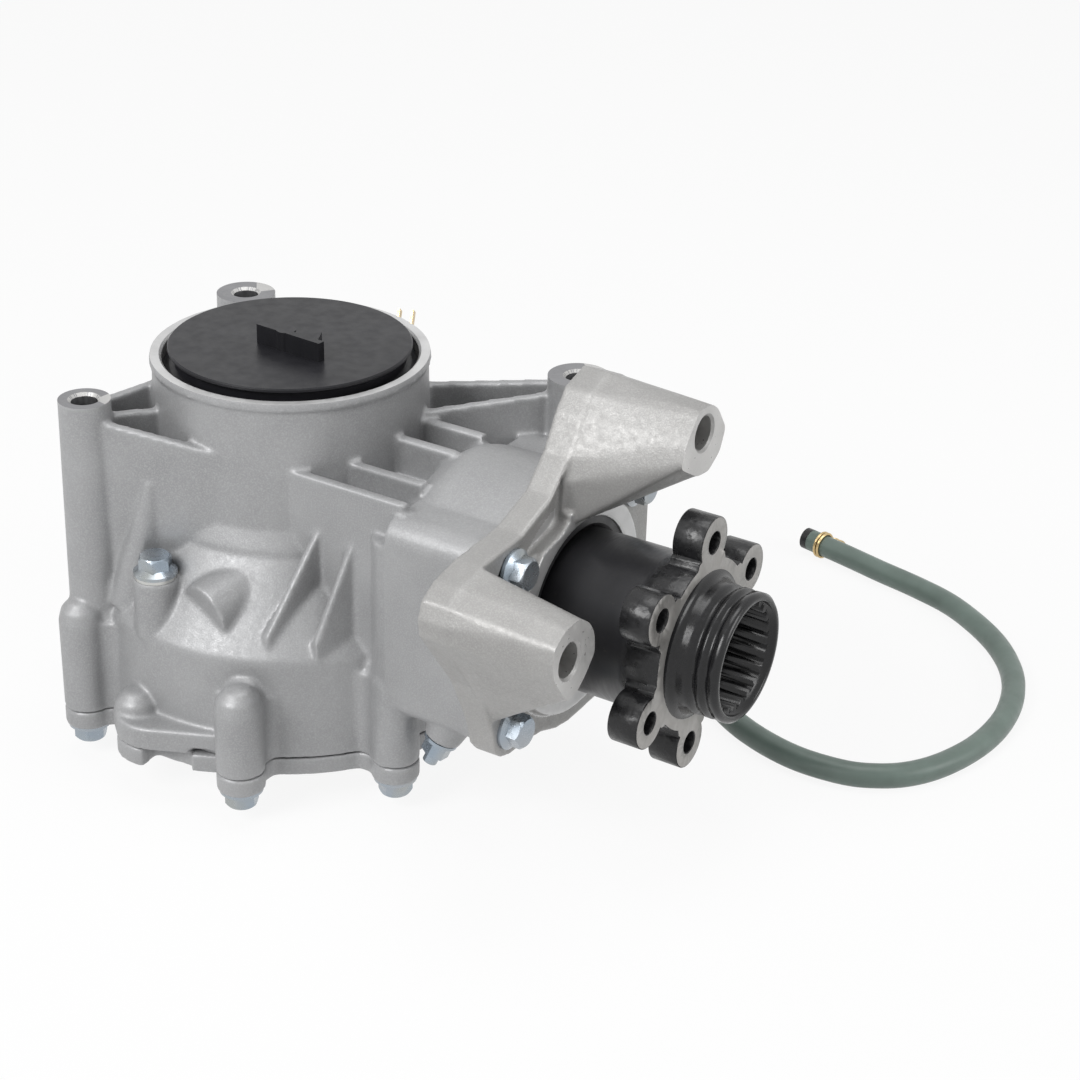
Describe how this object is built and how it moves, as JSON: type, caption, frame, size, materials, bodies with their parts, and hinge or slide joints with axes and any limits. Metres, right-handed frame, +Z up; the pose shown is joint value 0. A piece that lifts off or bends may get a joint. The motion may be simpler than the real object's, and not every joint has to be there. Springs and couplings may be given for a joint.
{
  "type": "differential",
  "caption": "Final-drive differential in a cast case with a pinion brake flange, a two-arm caliper bracket, mounting bosses, a breather hose and a transport plug in the axle bore.",
  "frame": {"origin": "centre of the cover's base face, on the ring gear axis", "axes": "+Z up the ring gear axis to the plugged axle bore, +X out along the pinion axis to the splined hub"},
  "size_m": [0.3709, 0.366, 0.181],
  "materials": {
    "case_casting": "as-cast, shot blasted, machined where it joins",
    "bracket_casting": "as-cast, lighter, machined nose and faces",
    "zinc_plated": "zinc plated",
    "bearing_steel": "ground",
    "gear_steel": "ground and oiled",
    "carrier_iron": "machined",
    "flange_forging": "black forging with machined faces",
    "seal_rubber": "matt",
    "plug_plastic": "satin",
    "hose_rubber": "smooth, slightly shiny",
    "hose_plug_plastic": "gloss",
    "brass_wire": "passivated",
    "cage_brass": "machined",
    "washer_alloy": "soft washer"
  },
  "bodies": {
    "housing": {"main_case": "case_casting", "side_cover": "case_casting", "caliper_bracket": "bracket_casting", "cover_bolts": "zinc_plated", "cover_dowels": "bearing_steel", "cover_o_ring": "seal_rubber", "bracket_bolts": "zinc_plated", "bracket_o_ring": "seal_rubber", "pinion_oil_seal": "seal_rubber", "upper_axle_seal": "seal_rubber", "lower_axle_seal": "seal_rubber", "upper_outer_race": "bearing_steel", "lower_outer_race": "bearing_steel", "inner_pinion_outer_race": "bearing_steel", "outer_pinion_outer_race": "bearing_steel", "carrier_shim": "bearing_steel", "pinion_race_spacer": "bearing_steel", "level_bolt": "zinc_plated", "level_bolt_washer": "washer_alloy", "drain_bolt": "zinc_plated", "drain_bolt_washer": "washer_alloy", "stop_stud": "zinc_plated", "stop_stud_nut": "zinc_plated", "breather_nipple": "zinc_plated", "hose_clamp": "brass_wire", "breather_hose": "hose_rubber", "hose_end_plug": "hose_plug_plastic", "hose_end_clip": "brass_wire"},
    "carrier": {"ring_gear": "gear_steel", "diff_case_lower": "carrier_iron", "diff_case_upper": "carrier_iron", "ring_gear_bolts": "zinc_plated", "diff_case_screws": "zinc_plated", "cross_pin": "gear_steel", "side_gear_washers": "cage_brass", "spider_gear_washers": "cage_brass", "upper_inner_race": "bearing_steel", "lower_inner_race": "bearing_steel"},
    "pinion": {"pinion_gear": "gear_steel", "pinion_flange": "flange_forging", "pinion_nut": "zinc_plated", "pinion_nut_washer": "bearing_steel", "inner_pinion_inner_race": "bearing_steel", "outer_pinion_inner_race": "bearing_steel", "pinion_inner_spacer": "bearing_steel"},
    "upper_axle_gear": {"upper_side_gear": "gear_steel"},
    "lower_axle_gear": {"lower_side_gear": "gear_steel"},
    "left_spider": {"left_spider_gear": "gear_steel"},
    "right_spider": {"right_spider_gear": "gear_steel"},
    "upper_cage": {"upper_bearing_cage": "cage_brass", "upper_bearing_balls": "bearing_steel"},
    "lower_cage": {"lower_bearing_cage": "cage_brass", "lower_bearing_balls": "bearing_steel"},
    "inner_pinion_cage_set": {"inner_pinion_cage": "cage_brass", "inner_pinion_balls": "bearing_steel"},
    "outer_pinion_cage_set": {"outer_pinion_cage": "cage_brass", "outer_pinion_balls": "bearing_steel"},
    "plug": {"transport_plug": "plug_plastic"}
  },
  "joints": [
    {"name": "ring_spin", "type": "hinge", "parent": "housing", "child": "carrier", "pos_m": [0, 0, 0], "axis": [0, 0, 1], "continuous": true},
    {"name": "pinion_spin", "type": "hinge", "parent": "housing", "child": "pinion", "pos_m": [0, 0, 0.09], "axis": [1, 0, 0], "continuous": true},
    {"name": "upper_axle_spin", "type": "hinge", "parent": "carrier", "child": "upper_axle_gear", "pos_m": [0, 0, 0.072], "axis": [0, 0, 1], "continuous": true},
    {"name": "lower_axle_spin", "type": "hinge", "parent": "carrier", "child": "lower_axle_gear", "pos_m": [0, 0, 0.072], "axis": [0, 0, 1], "continuous": true},
    {"name": "left_spider_spin", "type": "hinge", "parent": "carrier", "child": "left_spider", "pos_m": [0, 0, 0.072], "axis": [0, 1, 0], "continuous": true},
    {"name": "right_spider_spin", "type": "hinge", "parent": "carrier", "child": "right_spider", "pos_m": [0, 0, 0.072], "axis": [0, 1, 0], "continuous": true},
    {"name": "upper_cage_spin", "type": "hinge", "parent": "housing", "child": "upper_cage", "pos_m": [0, 0, 0], "axis": [0, 0, 1], "continuous": true},
    {"name": "lower_cage_spin", "type": "hinge", "parent": "housing", "child": "lower_cage", "pos_m": [0, 0, 0], "axis": [0, 0, 1], "continuous": true},
    {"name": "inner_pinion_cage_spin", "type": "hinge", "parent": "housing", "child": "inner_pinion_cage_set", "pos_m": [0, 0, 0.09], "axis": [1, 0, 0], "continuous": true},
    {"name": "outer_pinion_cage_spin", "type": "hinge", "parent": "housing", "child": "outer_pinion_cage_set", "pos_m": [0, 0, 0.09], "axis": [1, 0, 0], "continuous": true},
    {"name": "plug_lift", "type": "slide", "parent": "housing", "child": "plug", "axis": [0, 0, 1], "range_m": [0, 0.06]}
  ],
  "couplings": [
    {"joint": "pinion_spin", "follows": "ring_spin", "ratio": 3.0909},
    {"joint": "upper_cage_spin", "follows": "ring_spin", "ratio": 0.43226},
    {"joint": "lower_cage_spin", "follows": "ring_spin", "ratio": 0.43226},
    {"joint": "inner_pinion_cage_spin", "follows": "ring_spin", "ratio": 1.2364},
    {"joint": "outer_pinion_cage_spin", "follows": "ring_spin", "ratio": 1.2364},
    {"joint": "lower_axle_spin", "follows": "upper_axle_spin", "ratio": -1},
    {"joint": "left_spider_spin", "follows": "upper_axle_spin", "ratio": -1.4},
    {"joint": "right_spider_spin", "follows": "upper_axle_spin", "ratio": 1.4}
  ]
}
